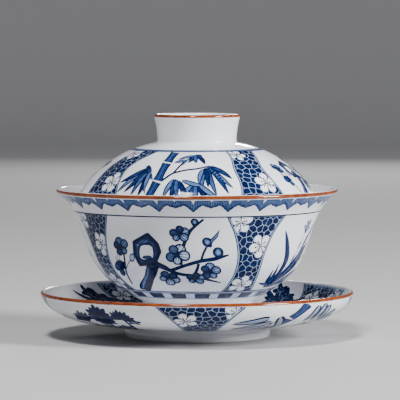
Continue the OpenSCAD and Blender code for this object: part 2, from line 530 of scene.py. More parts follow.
def throwBowl():
    outer, inner = bowlWall
    floor = bowl["footTop"] + bowl["floor"]
    edge = inner[0]
    along, up = heading(inner, 0)
    drop = (edge[1] - floor) / up
    base = bezier([edge, (edge[0] - along * drop, floor), (0.55 * edge[0], floor), (0, floor)], 24)
    body = thrown("bowlBody", [(0, bowl["footTop"])] + outer + backwards(inner) + base[1:],
                  bowlGlaze, "bowl")
    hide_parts("bowl_body")
    ring = thrown("bowlFootRing", footRing(
        [(bowl["footR"], bowl["footTop"])], bowl["footWall"], bowl["footZ"], bowl["footTop"],
        bowl["footR"], bowl["footSlant"]), bowlFootGlaze, "bowl")
    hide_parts("bowl_foot_ring")
    band = thrown("bowlRimBand", lip(*bowlWall), makeBrownGlaze("bowlBrownGlaze", bowlWall), "bowl")
    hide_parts("bowl_rim_band")


def throwLid():
    outer, inner = lidWall
    seat = lidPart["knobZ"]
    crownR = lidPart["neckR"] - lidPart["knobWall"] - 0.3 * mm
    rise = lidPart["crownRise"]
    crown = bezier([(0, seat + rise), (0.5 * crownR, seat + rise), (0.8 * crownR, seat + 0.25 * rise),
                    (crownR, seat)], 20)
    edge = inner[0]
    under = bezier([edge, (0.7 * edge[0], edge[1] + 0.63 * mm), (0.3 * edge[0], edge[1] + 0.9 * mm),
                    (0, edge[1] + 0.9 * mm)], 20)
    dome = thrown("lidDome", crown + outer + backwards(inner) + under[1:], lidGlaze, "lid")
    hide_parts("lid_dome")
    knobOuter, knobInner = knobWall
    rootR = lidPart["neckR"] + lidPart["fillet"]
    fillet = [(rootR - lidPart["fillet"] * math.sin(t), seat + lidPart["fillet"] * (1 - math.cos(t)))
              for t in (math.radians(a) for a in range(0, 90, 9))]
    knob = thrown("lidKnobRing", fillet + knobOuter + backwards(knobInner)
                  + [(lidPart["neckR"] - lidPart["knobWall"], seat)], knobGlaze, "lid")
    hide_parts("lid_knob_ring")
    knobBand = thrown("lidKnobBand", lip(*knobWall), makeBrownGlaze("knobBrownGlaze", knobWall, -0.55 * mm),
                      "lid")
    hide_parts("lid_knob_band")
    edgeBand = thrown("lidEdgeBand", lip(*lidWall), makeBrownGlaze("lidBrownGlaze", lidWall), "lid")
    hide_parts("lid_edge_band")


throwSaucer()
throwBowl()
throwLid()
print("saucer, bowl and lid are thrown")

# the painting: every brush mark is a closed thin skin laid on the glaze, x across and y up in mm

inkLay = {
    "lift": 0.022 * mm,      # the lowest marks above the white
    "layer": 0.011 * mm,     # each layer of marks above the one below
    "crown": 0.003 * mm,     # a mark's middle above its rim, and its back below
}


def surfaceFrom(points, side):
    lengths = [0.0]
    for (r1, z1), (r2, z2) in zip(points, points[1:]):
        lengths.append(lengths[-1] + math.hypot(r2 - r1, z2 - z1))
    return {"points": points, "lengths": lengths, "side": side}


def onSurface(surface, s):
    lengths, points, side = surface["lengths"], surface["points"], surface["side"]
    s = min(max(s, 0), lengths[-1])
    i = min(bisect.bisect_right(lengths, s), len(lengths) - 1)
    (r1, z1), (r2, z2) = points[i - 1], points[i]
    span = lengths[i] - lengths[i - 1]
    t = (s - lengths[i - 1]) / span
    return r1 + (r2 - r1) * t, z1 + (z2 - z1) * t, side * (z2 - z1) / span, side * (r1 - r2) / span


def newPainting(surface):
    return {"surface": surface, "centre": 0.0, "foot": 0.0, "size": 1.0,
            "vertices": [], "faces": [], "inks": []}


def moveTo(art, centre, footHeight=0.0, size=1.0):
    art["centre"], art["foot"], art["size"] = math.radians(centre), footHeight, size


def place(art, x, y, lift):
    r, z, nr, nz = onSurface(art["surface"], (art["foot"] + y * art["size"]) * mm)
    angle = art["centre"] + art["surface"]["side"] * x * art["size"] * mm / r
    r, z = r + nr * lift, z + nz * lift
    art["vertices"].append((r * math.sin(angle), -r * math.cos(angle), z))
    return len(art["vertices"]) - 1


def addMark(art, points, faces, rim, layer):
    lift = inkLay["lift"] + inkLay["layer"] * layer
    front, back = [], []
    for i, (x, y, ink) in enumerate(points):
        onRim = i in rim
        front.append(place(art, x, y, lift + (0 if onRim else inkLay["crown"])))
        art["inks"].append(ink)
        if onRim:
            back.append(front[-1])
        else:
            back.append(place(art, x, y, lift - inkLay["crown"]))
            art["inks"].append(ink)
    for face in faces:
        art["faces"].append([front[i] for i in face])
        art["faces"].append([back[i] for i in reversed(face)])


def curveThrough(points, steps):
    if len(points) == 2:
        (x1, y1), (x2, y2) = points
        return [(x1 + (x2 - x1) * i / steps, y1 + (y2 - y1) * i / steps) for i in range(steps + 1)]
    ends = [points[0]] + list(points) + [points[-1]]
    pieces = len(points) - 1
    line = []
    for i in range(steps + 1):
        u = min(i / steps * pieces, pieces - 1e-9)
        k, t = int(u), u - int(u)
        a, b, c, d = ends[k:k + 4]
        line.append(tuple(0.5 * (
            2 * b[j] + (c[j] - a[j]) * t + (2 * a[j] - 5 * b[j] + 4 * c[j] - d[j]) * t * t
            + (3 * b[j] - a[j] - 3 * c[j] + d[j]) * t ** 3) for j in (0, 1)))
    return line


def between(values, t):
    u = min(max(t, 0), 1) * (len(values) - 1)
    k = min(int(u), len(values) - 2)
    return values[k] + (values[k + 1] - values[k]) * (u - k)


def grid(art, rows, layer):
    wide = len(rows[0])
    points = [point for row in rows for point in row]
    faces = [(i * wide + j, i * wide + j + 1, (i + 1) * wide + j + 1, (i + 1) * wide + j)
             for i in range(len(rows) - 1) for j in range(wide - 1)]
    last = (len(rows) - 1) * wide
    rim = {i for i in range(len(points)) if i < wide or i >= last or i % wide in (0, wide - 1)}
    addMark(art, points, faces, rim, layer)


def brush(art, path, widths, layer=1, inks=(0.9, 0.5, 0.9), rim=0.24, steps=14):
    # one stroke: inks are its left edge, its body and its right edge
    line = curveThrough(path, steps)
    rows = []
    thin = max(widths) < 0.95
    for i, (x, y) in enumerate(line):
        (ax, ay), (bx, by) = line[max(i - 1, 0)], line[min(i + 1, steps)]
        length = math.hypot(bx - ax, by - ay) or 1
        nx, ny = (ay - by) / length, (bx - ax) / length
        half = max(between(widths, i / steps), 0.05) / 2
        edge = min(rim, 0.75 * half)
        body = half - edge
        if thin:
            across = ((half, inks[0]), (0, inks[1]), (-half, inks[2]))
        else:
            across = ((half, inks[0]), (body, inks[0]), (body * 0.78, inks[1] * 1.15), (0, inks[1]),
                      (-body * 0.78, inks[1]), (-body, inks[2]), (-half, inks[2]))
        rows.append([(x + nx * d, y + ny * d, ink) for d, ink in across])
    grid(art, rows, layer)


def line(art, path, width, layer=1, ink=0.85, steps=None):
    steps = steps or max(3, int(sum(math.dist(a, b) for a, b in zip(path, path[1:])) / 0.9))
    brush(art, path, (width, width), layer, (ink, ink, ink), steps=steps)


def blot(art, outline, middle=None, layer=1, inks=(0.9, 0.55, 0.35), rim=0.24):
    # an outlined patch: inks are its edge, its body and its middle
    n = len(outline)
    if middle is None:
        middle = (sum(x for x, y in outline) / n, sum(y for x, y in outline) / n)
    cx, cy = middle
    points = [(x, y, inks[0]) for x, y in outline]
    rings = [1]
    reach = min(math.hypot(x - cx, y - cy) for x, y in outline)
    if rim:
        share = max(1 - rim / max(reach, 1e-6), 0.25)
        steps = ((share, inks[0]), (share * 0.84, inks[1]), (share * 0.45, 0.5 * inks[1] + 0.5 * inks[2]))
    else:
        steps = ((0.5, inks[1]),)
    for share, ink in steps:
        points += [(cx + (x - cx) * share, cy + (y - cy) * share, ink) for x, y in outline]
        rings.append(share)
    points.append((cx, cy, inks[2]))
    faces = []
    for k in range(len(rings) - 1):
        for i in range(n):
            j = (i + 1) % n
            faces.append((k * n + i, k * n + j, (k + 1) * n + j, (k + 1) * n + i))
    inner = (len(rings) - 1) * n
    faces += [(inner + i, inner + (i + 1) % n, len(points) - 1) for i in range(n)]
    addMark(art, points, faces, set(range(n)), layer)


def ringWash(art, middle, outer, inner, layer, shades, tone, steps=60):
    # a wash with a hole: both loops are met by rays from the middle
    def reach(loop, angle):
        dx, dy = math.cos(angle), math.sin(angle)
        best = 0.1
        for (ax, ay), (bx, by) in zip(loop, loop[1:] + loop[:1]):
            ex, ey = bx - ax, by - ay
            cross = dx * ey - dy * ex
            if abs(cross) < 1e-9:
                continue
            px, py = ax - middle[0], ay - middle[1]
            t, u = (px * ey - py * ex) / cross, (px * dy - py * dx) / cross
            if t > 0 and -1e-9 <= u <= 1 + 1e-9:
                best = max(best, t)
        return best

    rows = []
    for share, ink in shades:
        row = []
        for i in range(steps + 1):
            angle = 2 * math.pi * i / steps
            far, near = reach(outer, angle), reach(inner, angle)
            d = far + (near - far) * share
            shade = min(1, max(0.1, ink + tone(angle, share)))
            row.append((middle[0] + d * math.cos(angle), middle[1] + d * math.sin(angle), shade))
        rows.append(row)
    grid(art, rows, layer)


def roundOutline(x, y, across, along, turn=0.0, n=18, point=0.0):
    # an oval, or a petal or leaf where point narrows its root
    c, s = math.cos(math.radians(turn)), math.sin(math.radians(turn))
    outline = []
    for i in range(n):
        t = 2 * math.pi * i / n
        u, v = along * math.cos(t), across * math.sin(t) * (1 + point * math.cos(t))
        outline.append((x + u * c - v * s, y + u * s + v * c))
    return outline


def softened(outline):
    return [(a[0] + (b[0] - a[0]) * t, a[1] + (b[1] - a[1]) * t)
            for a, b in zip(outline, outline[1:] + outline[:1]) for t in (0.25, 0.75)]


def patch(art, left, right, bottom, top, layer, ink, stepX, stepY):
    # left and right are functions of height, and ink may be one too
    inkAt = ink if callable(ink) else lambda u, v: ink
    tall = max(1, round((top - bottom) / stepY))
    middle = (bottom + top) / 2
    wide = max(1, round((right(middle) - left(middle)) / stepX))
    rows = []
    for i in range(tall + 1):
        v = i / tall
        y = bottom + (top - bottom) * v
        a, b = left(y), right(y)
        rows.append([(a + (b - a) * j / wide, y, inkAt(j / wide, v)) for j in range(wide + 1)])
    grid(art, rows, layer)


def ringLine(art, y, width, layer=1, ink=0.8, steps=240):
    r = onSurface(art["surface"], (art["foot"] + y) * mm)[0] / mm
    rows = []
    for k in (0, 1, 2):
        height = y - width / 2 + width * k / 2
        here = onSurface(art["surface"], (art["foot"] + height) * mm)[0] / mm
        rows.append([(2 * math.pi * here * (i / steps - 0.5), height, ink) for i in range(steps + 1)])
    grid(art, rows, layer)


def finishPainting(art, name, body):
    deselectAll()
    mesh = bpy.data.meshes.new(name)
    mesh.from_pydata(art["vertices"], [], art["faces"])
    ink = mesh.attributes.new("ink", "FLOAT", "POINT")
    ink.data.foreach_set("value", art["inks"])
    mesh.materials.append(cobalt)
    piece = bpy.data.objects.new(name, mesh)
    bpy.context.scene.collection.objects.link(piece)
    bpy.context.view_layer.objects.active = piece
    piece.select_set(True)
    bpy.ops.object.mode_set(mode="EDIT")
    bpy.ops.mesh.select_all(action="SELECT")
    bpy.ops.mesh.remove_doubles(threshold=1e-7)
    bpy.ops.object.mode_set(mode="OBJECT")
    bpy.ops.object.shade_smooth_by_angle(angle=math.radians(45))
    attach(piece, body)


surfaces = {
    "bowl": surfaceFrom(bowlWall[0], 1),
    "lid": surfaceFrom(backwards(lidWall[0]), 1),
    "saucerUnder": surfaceFrom(saucerWall[0], 1),
    "saucerTop": surfaceFrom(saucerWall[1], -1),
}


# flowers, leaves and branches

def petal(art, x, y, r, turn, layer, dark=0.97, wash=0.7, pale=0.35, stripes=0):
    outline = roundOutline(x, y, 0.9 * r, r, turn, 18, 0.12)
    c, s = math.cos(math.radians(turn)), math.sin(math.radians(turn))
    blot(art, outline, (x + 0.25 * r * c, y + 0.25 * r * s), layer, (dark, wash, pale), 0.38)
    for k in range(stripes):
        side = (k - (stripes - 1) / 2) * 1.3 * r / stripes
        a = (x - 0.6 * r * c - side * s * 0.5, y - 0.6 * r * s + side * c * 0.5)
        b = (x + 0.75 * r * c - side * s, y + 0.75 * r * s + side * c)
        line(art, (a, b), 0.24, layer + 0.4, dark, 3)


def plumFlower(art, x, y, wide, turn, layer=2, dark=0.98, heavy=0.0):
    # petals of uneven size: some left pale, some washed dark and striped
    for k, n in enumerate((0, 2, 1, 4, 3)):
        angle = math.radians(turn + 72.0 * n + (7, -9, 4, -5, 10)[n])
        striped = n in (1, 2)
        grow = (1.12, 0.92, 1.0, 0.86, 1.08)[n]
        petal(art, x + 0.26 * wide * math.cos(angle), y + 0.23 * wide * math.sin(angle), 0.245 * wide * grow,
              math.degrees(angle), layer + 0.5 * k, dark, (0.52 if striped else 0.22) + heavy,
              (0.36 if striped else 0.08) + heavy, 4 if striped else 2)
    for k in range(5):
        angle = math.radians(turn + 30 + 72 * k)
        line(art, ((x, y), (x + 0.2 * wide * math.cos(angle), y + 0.18 * wide * math.sin(angle))), 0.3,
             layer + 3.2, dark, 2)


def plumBud(art, x, y, r, turn, layer=2):
    blot(art, roundOutline(x, y, r, r * 1.05, turn, 18), None, layer, (0.98, 0.62, 0.25), 0.4)
    c, s = math.cos(math.radians(turn)), math.sin(math.radians(turn))
    for side in (-1, 1):
        a = (x - 0.95 * r * c - side * 0.1 * r * s, y - 0.95 * r * s + side * 0.1 * r * c)
        b = (x - side * 0.62 * r * s, y + side * 0.62 * r * c)
        d = (x + 0.7 * r * c - side * 0.3 * r * s, y + 0.7 * r * s + side * 0.3 * r * c)
        line(art, (a, b, d), 0.3, layer + 0.5, 0.95, 6)
    blot(art, roundOutline(x - 0.9 * r * c, y - 0.9 * r * s, 0.45 * r, 0.4 * r, turn, 10), None, layer + 0.8,
         (0.95, 0.9, 0.9), 0)


def whiteBlossom(art, x, y, r, turn, layer, keepIn):
    # a flower left white in the dark ground, with inked stamens
    for k in range(5):
        angle = turn + 72 * k
        c, s = math.cos(math.radians(angle)), math.sin(math.radians(angle))
        outline = roundOutline(x + 0.60 * r * c, y + 0.60 * r * s, 0.36 * r, 0.42 * r, angle, 16, 0.1)
        outline = [keepIn(px, py) for px, py in outline]
        if areaOf(outline) > 0.8:
            blot(art, outline, None, layer + 0.1 * k, (0.1, 0, 0), 0.2)
    hub = [keepIn(px, py) for px, py in roundOutline(x, y, 0.30 * r, 0.30 * r, 0, 12)]
    if areaOf(hub) > 0.8:
        blot(art, hub, None, layer + 0.7, (0, 0, 0.05), 0)
    for k in range(10):
        angle = math.radians(turn + 36 * k + 8 * ((k * 7) % 3 - 1))
        c, s = math.cos(angle), math.sin(angle)
        far = r * (0.60 if k % 2 else 0.42)
        tip = (x + far * c, y + far * s)
        if math.dist(keepIn(*tip), tip) > 0.1:
            continue
        line(art, ((x + 0.04 * r * c, y + 0.04 * r * s), tip), 0.32, layer + 1, 1.0, 3)
        blot(art, roundOutline(tip[0] + 0.1 * c, tip[1] + 0.1 * s, 0.34, 0.34, 0, 8), None, layer + 1.2,
             (1.0, 1.0, 1.0), 0)


def leaf(art, root, tip, wide, layer=2, inks=(0.9, 0.45, 0.9), bend=0.0, vein=True, edge=0.3):
    (ax, ay), (bx, by) = root, tip
    length = math.dist(root, tip)
    nx, ny = (ay - by) / length, (bx - ax) / length
    middle = ((ax + bx) / 2 + nx * bend, (ay + by) / 2 + ny * bend)
    brush(art, (root, middle, tip), (0.3 * wide, 0.85 * wide, wide, 0.9 * wide, 0.55 * wide, 0.08),
          layer, inks, edge, 12)
    if vein and length > 4:
        a = (ax + (middle[0] - ax) * 0.3, ay + (middle[1] - ay) * 0.3)
        b = (middle[0] + (bx - middle[0]) * 0.6, middle[1] + (by - middle[1]) * 0.6)
        line(art, (a, middle, b), 0.15, layer + 0.4, 0.85, 6)


def plumRock(art):
    outer = [(-6.3, 26.5), (-2.5, 22.4), (-1.7, 19.0), (-4.4, 13.8), (-8.6, 13.3), (-11.2, 12.9),
             (-13.2, 17.6),
             (-13.0, 22.8)]
    hole = softened([(-10.4, 19.4), (-9.4, 21.5), (-5.2, 21.5), (-4.9, 18.6), (-5.4, 16.2), (-10.4, 15.7)])
    middle = (-7.7, 18.8)

    def tone(angle, share):     # the upper left facet is lit
        lit = max(0, math.cos(angle - math.radians(115))) ** 3
        return -0.42 * lit * max(0, 1 - abs(share - 0.62) / 0.3) + 0.05 * math.sin(7 * angle)

    ringWash(art, middle, outer, hole, 2, (
        (0.0, 1.0), (0.2, 1.0), (0.38, 0.97), (0.55, 0.85), (0.68, 0.72), (0.78, 0.8), (0.84, 1.0),
        (1.0, 1.0)), tone)
    line(art, ((-12.6, 22.4), (-9.6, 22.0), (-6.6, 24.6), (-6.2, 26.2)), 0.35, 2.8, 1.0)
    line(art, ((-4.6, 20.6), (-3.6, 21.4), (-2.9, 22.2)), 0.35, 2.8, 1.0)
    line(art, ((-4.9, 16.4), (-3.2, 17.4), (-2.0, 18.8)), 0.3, 2.8, 1.0)
    blot(art, softened([(-9.6, 16.2), (-9.2, 17.3), (-6.9, 17.6), (-5.6, 17.2), (-5.8, 15.9)]), None, 2.6,
         (0.95, 0.7, 0.75), 0.2)


def plumPanel(art):
    plumRock(art)
    brush(art, ((-5.4, 15.0), (-6.4, 11.6), (-7.5, 9.2), (-9.2, 6.0), (-11.0, 3.0), (-11.9, 0.4)),
          (5.6, 4.6, 4.4, 4.0, 4.8, 5.2, 4.6),
          1.4, (1.0, 0.9, 1.0), 0.5, 26)
    brush(art, ((-7.6, 12.6), (-8.6, 9.6), (-10.6, 5.8), (-12.6, 1.8)), (0.8, 1.5, 1.3, 1.5), 2.2,
          (0.7, 0.42, 0.7), 0.35, 16)
    line(art, ((-9.0, 11.6), (-8.9, 9.6), (-9.6, 7.9)), 0.28, 2.8, 0.95)
    line(art, ((-6.4, 7.4), (-7.4, 6.6), (-8.2, 5.2), (-8.0, 3.6)), 0.3, 2, 0.95)
    line(art, ((-11.9, 5.6), (-12.8, 4.0), (-13.4, 1.8)), 0.3, 2.8, 0.95)
    brush(art, ((-4.4, 14.2), (-1.2, 12.8), (0.9, 11.4), (4.6, 9.9), (9.0, 9.4), (13.4, 7.4), (17.9, 5.6)),
          (2.6, 2.1, 1.5, 1.4, 1.2, 1.3, 0.5), 1.5, (1.0, 0.85, 1.0), 0.25, 30)
    brush(art, ((0.9, 11.6), (6.0, 13.7), (12.0, 15.6), (17.0, 16.4), (22.4, 17.9)),
          (1.5, 1.25, 1.4, 1.6, 0.5), 1.8, (1.0, 0.9, 1.0), 0.25, 26)
    line(art, ((8.8, 9.6), (10.4, 12.2), (11.2, 14.6)), 1.0, 1.6, 0.97)
    brush(art, ((5.0, 14.0), (5.4, 18.0), (6.4, 21.4), (8.8, 26.4), (11.0, 28.8), (14.6, 31.8)),
          (1.0, 1.2, 1.3, 1.4, 1.0, 0.8), 1.5, (1.0, 0.88, 1.0), 0.25, 26)
    line(art, ((12.2, 15.8), (13.3, 18.6), (14.7, 21.2)), 0.8, 1.6, 0.97)
    brush(art, ((14.2, 20.4), (16.4, 23.2), (18.4, 25.2), (19.8, 27.6)), (0.6, 1.4, 1.3, 0.1), 1.9,
          (1.0, 0.45, 1.0), 0.35, 12)
    plumFlower(art, 5.4, 26.0, 7.4, 20, heavy=0.16)
    plumFlower(art, 3.9, 18.0, 9.0, 55)
    plumFlower(art, -0.4, 8.0, 8.0, -25, heavy=0.12)
    plumFlower(art, 9.2, 8.0, 6.8, 10, heavy=0.2)
    plumFlower(art, 15.0, 11.2, 7.8, 80, heavy=0.18)
    plumBud(art, 11.3, 30.7, 1.45, 70)
    plumBud(art, 15.0, 22.9, 1.8, 125)
    plumBud(art, 18.6, 18.9, 2.0, 95)
    # the small stem on the left
    line(art, ((-17.6, 18.4), (-17.6, 14.5), (-17.9, 9.5), (-17.0, 3.7)), 0.8, 1.4, 0.97)
    line(art, ((-17.6, 11.5), (-16.0, 14.0), (-14.6, 15.6)), 0.35, 1.4, 0.85)
    plumFlower(art, -18.6, 20.4, 7.8, 100, 2, 1.0, 0.3)
    blot(art, roundOutline(-13.9, 16.4, 1.2, 1.8, 75, 14), None, 2, (0.9, 0.3, 0.15), 0.22)
    for k in range(5):
        angle = math.radians(60 + 24 * k)
        petal(art, -20.1 + 1.7 * math.cos(angle), 11.2 + 2.0 * math.sin(angle), 1.9, math.degrees(angle),
              2 + 0.4 * k, 1.0, 0.8, 0.6)
    for dx, dy in ((-1.6, 4.2), (-0.4, 4.9), (0.9, 4.4)):
        line(art, ((-20.6, 12.4), (-20.6 + dx, 12.4 + dy)), 0.28, 4.4, 0.9)
    blot(art, roundOutline(-20.0, 9.9, 1.5, 1.9, 100, 14), None, 4.2, (1.0, 0.8, 0.6), 0.22)


def orchidPanel(art):
    root = (-11.6, 1.6)
    blades = (
        # a leaf's way up, its widths and its inks
        ((root, (-12.2, 8.0), (-12.9, 15.0), (-16.4, 21.6), (-19.9, 26.6)), (0.9, 1.9, 2.3, 1.5, 0.1),
         (1.0, 0.82, 0.7)),
        ((root, (-9.4, 7.4), (-5.2, 13.4), (-0.8, 17.6), (3.4, 21.0)), (1.3, 3.4, 3.6, 2.4, 0.1),
         (1.0, 0.9, 1.0)),
        (((-11.0, 1.6), (-8.0, 6.2), (-3.4, 11.4), (1.9, 16.9)), (1.0, 2.1, 1.9, 0.1), (1.0, 0.85, 1.0)),
        (((-11.2, 1.8), (-13.6, 6.0), (-15.0, 9.4), (-16.2, 13.6)), (0.9, 1.7, 1.1, 0.1), (0.95, 0.75, 0.9)),
        (((-11.6, 1.4), (-14.6, 5.0), (-16.3, 7.6), (-17.4, 11.0)), (0.8, 1.5, 1.0, 0.1), (0.95, 0.8, 0.95)),
        (((-10.6, 1.4), (-13.4, 3.4), (-16.2, 4.0), (-18.6, 4.6)), (0.6, 1.2, 0.9, 0.1), (0.9, 0.7, 0.9)),
        (((-9.8, 1.6), (-4.0, 5.6), (2.6, 8.4), (9.0, 8.8), (14.6, 7.0)), (0.7, 1.6, 1.7, 1.2, 0.1),
         (0.95, 0.5, 0.8)),
        (((-9.4, 1.4), (-3.6, 3.4), (2.4, 4.4), (7.4, 4.0)), (0.7, 1.3, 1.1, 0.1), (0.9, 0.75, 0.9)),
        (((-10.2, 1.8), (-6.4, 11.4), (-1.0, 22.0), (7.8, 29.6)), (0.7, 1.4, 1.5, 0.1), (0.9, 0.55, 0.9)),
    )
    for k, (path, widths, inks) in enumerate(blades):
        brush(art, path, [1.3 * w for w in widths], 1 + 0.35 * k, inks, 0.3, 24)
    line(art, ((-10.4, 2.0), (-8.8, 12.0), (-6.0, 20.0), (-4.8, 24.0)), 0.4, 1, 0.8)
    line(art, ((-9.8, 2.0), (-2.0, 12.4), (6.2, 15.4), (11.0, 17.0)), 0.4, 1, 0.8)
    for x, y, turn, wide in ((-4.8, 25.2, 80, 1.0), (12.6, 18.6, 40, 1.25)):
        for k, (spread, reach) in enumerate(((-62, 4.0), (62, 4.0), (-28, 4.8), (28, 4.8), (0, 5.2))):
            angle = math.radians(turn + spread)
            tip = (x + reach * wide * math.cos(angle), y + reach * wide * math.sin(angle))
            leaf(art, (x, y), tip, 1.5 * wide, 3.6 + 0.3 * k, (0.85, 0.3, 0.8),
                 0.5 if spread < 0 else -0.5, False)
        blot(art, roundOutline(x, y, 0.7, 0.9, turn, 10), None, 5.4, (0.95, 0.9, 0.8), 0)
    for x, y in ((-6.8, 18.6), (-8.6, 13.6), (8.0, 14.2)):
        leaf(art, (x, y), (x + 1.0, y + 3.0), 0.9, 3, (0.9, 0.4, 0.9), 0.2, False)


def bambooCane(art, points, wide, layer=1.5):
    # each length between joints flares a little at both ends
    for (ax, ay), (bx, by) in zip(points, points[1:]):
        length = math.dist((ax, ay), (bx, by))
        ux, uy = (bx - ax) / length, (by - ay) / length
        a, b = (ax + ux * 0.35, ay + uy * 0.35), (bx - ux * 0.35, by - uy * 0.35)
        brush(art, (a, b), (wide * 1.12, wide * 0.96, wide * 0.92, wide * 0.96, wide * 1.12), layer,
              (1.0, 0.62, 1.0), 0.46, 12)
        for side in (-0.2, 0.14):
            shift = (-uy * side * wide, ux * side * wide)
            line(art, ((a[0] + shift[0], a[1] + shift[1]), (b[0] + shift[0], b[1] + shift[1])), 0.3,
                 layer + 0.4,
                 0.97)


def bambooLeaves(art, leaves, wide=1.9, layer=2.0, heavy=0.14, edge=0.38):
    for k, (root, tip) in enumerate(leaves):
        body = (0.28, 0.6, 0.4, 0.74)[k % 4] + heavy
        leaf(art, root, tip, wide, layer + 0.3 * (k % 6), (1.0, body, 1.0), 0.3 if k % 2 else -0.3,
             edge=edge)


def bluntLeaf(art, root, tip, wide, layer=2.0):
    # round at the root, drawn with a heavy outline and left pale inside
    (ax, ay), (bx, by) = root, tip
    middle = ((ax + bx) / 2 + 0.05 * (ay - by), (ay + by) / 2 + 0.05 * (bx - ax))
    brush(art, (root, middle, tip), (0.5 * wide, 0.95 * wide, wide, 0.9 * wide, 0.6 * wide, 0.08), layer,
          (1.0, 0.22, 1.0), 0.95, 14)
    brush(art, ((ax * 0.9 + bx * 0.1, ay * 0.9 + by * 0.1), middle,
                (ax * 0.3 + bx * 0.7, ay * 0.3 + by * 0.7)),
          (0.2, 0.42, 0.3), layer + 0.4, (1.0, 0.9, 1.0), 0.1, 8)


def lidBamboo(art):
    bambooCane(art, ((-4.1, 28.2), (-6.2, 20.6), (-8.7, 10.6), (-12.2, 1.6)), 3.3)
    line(art, ((-7.2, 10.8), (-5.4, 12.6), (-3.2, 14.7), (1.2, 16.4), (5.2, 17.2), (9.4, 18.7)), 0.85, 1.5,
         0.97)
    line(art, ((-3.2, 14.7), (-1.2, 18.8), (0.6, 22.0), (3.2, 25.2)), 0.75, 1.5, 0.97)
    line(art, ((-1.6, 18.2), (0.4, 20.4), (1.2, 23.4)), 0.35, 1.5, 0.8)
    line(art, ((-14.2, 12.8), (-13.6, 9.0), (-13.0, 5.4)), 0.35, 1.5, 0.8)
    bambooLeaves(art, (
        ((3.6, 25.6), (-2.4, 22.6)), ((3.4, 25.4), (1.4, 20.6)), ((3.8, 25.6), (4.4, 20.4)),
        ((4.2, 25.4), (7.6, 19.8)), ((1.2, 22.0), (-3.6, 20.6)), ((3.4, 26.0), (6.0, 24.0))))
    bambooLeaves(art, (
        ((8.4, 18.7), (19.2, 7.6)), ((9.0, 18.2), (17.8, 5.2)), ((8.6, 17.8), (13.4, 4.6)),
        ((8.0, 17.6), (10.0, 8.0)), ((7.2, 17.0), (6.6, 9.6)), ((9.6, 18.6), (18.4, 11.8)),
        ((7.8, 17.2), (7.9, 5.6))), 2.1)
    bambooLeaves(art, (
        ((-13.4, 16.6), (-25.4, 5.2)), ((-13.6, 15.4), (-22.0, 5.4)), ((-13.0, 14.8), (-18.8, 4.2)),
        ((-12.6, 14.6), (-15.8, 4.0)), ((-11.8, 15.2), (-13.6, 6.0)), ((-12.8, 17.4), (-24.6, 9.4))), 2.1)
    bambooLeaves(art, (((-13.8, 18.4), (-10.6, 11.2)), ((-13.4, 18.8), (-12.2, 12.4))), 2.1, 2.4)
    bambooLeaves(art, (
        ((-2.4, 11.8), (-6.0, 3.6)), ((-2.2, 11.8), (-3.4, 2.4)), ((-1.6, 11.6), (-0.6, 3.0)),
        ((-0.8, 11.0), (2.6, 2.6)), ((0.4, 11.2), (9.2, 8.4))), 2.2)
    bambooLeaves(art, (
        ((5.0, 9.4), (-1.2, 2.2)), ((5.2, 9.2), (2.4, 1.6)), ((5.6, 9.0), (6.2, 1.4)),
        ((6.2, 9.0), (10.0, 1.8)), ((6.6, 9.2), (14.2, 3.4))), 2.3)


def bambooPanel(art):
    bambooCane(art, ((-9.6, 0.2), (-8.2, 9.8), (-7.2, 19.4), (-6.8, 30.4)), 2.9)
    bambooCane(art, ((4.4, 0.2), (5.0, 8.2), (5.2, 15.6)), 2.2, 1.2)
    line(art, ((-7.0, 19.6), (-3.0, 22.8), (1.6, 24.4), (7.6, 24.8)), 0.5, 1.6, 0.85)
    line(art, ((-8.0, 10.0), (-12.0, 13.2), (-15.6, 14.4)), 0.45, 1.6, 0.85)
    line(art, ((5.2, 15.8), (8.4, 18.0), (12.4, 18.6)), 0.45, 1.6, 0.85)
    bambooLeaves(art, (
        ((7.4, 24.8), (16.4, 27.6)), ((7.6, 24.6), (17.6, 22.4)), ((7.2, 24.4), (13.2, 17.8)),
        ((6.2, 24.6), (7.0, 16.6)), ((5.0, 24.6), (1.8, 16.8)), ((7.0, 25.0), (11.4, 30.4))), 1.9)
    bambooLeaves(art, (
        ((-15.4, 14.4), (-22.6, 17.6)), ((-15.6, 14.2), (-23.4, 11.6)), ((-15.2, 14.0), (-20.6, 7.0)),
        ((-14.6, 13.8), (-15.6, 5.6)), ((-13.4, 13.8), (-11.4, 6.0))), 1.9)
    bambooLeaves(art, (
        ((12.2, 18.6), (20.8, 15.2)), ((12.4, 18.4), (17.4, 10.0)), ((11.6, 18.2), (11.8, 9.2)),
        ((10.6, 18.0), (8.0, 10.6)), ((-6.8, 29.8), (-14.6, 26.2)), ((-6.8, 29.6), (-11.6, 22.6)),
        ((-6.6, 29.6), (-1.0, 30.8))), 1.9)
    bambooLeaves(art, (((-2.6, 0.4), (-0.4, 7.8)), ((-3.0, 0.4), (-5.6, 5.8)), ((12.0, 0.4), (15.6, 6.4)),
                       ((11.6, 0.4), (9.8, 6.6)), ((12.4, 0.4), (18.2, 3.6))), 1.5)


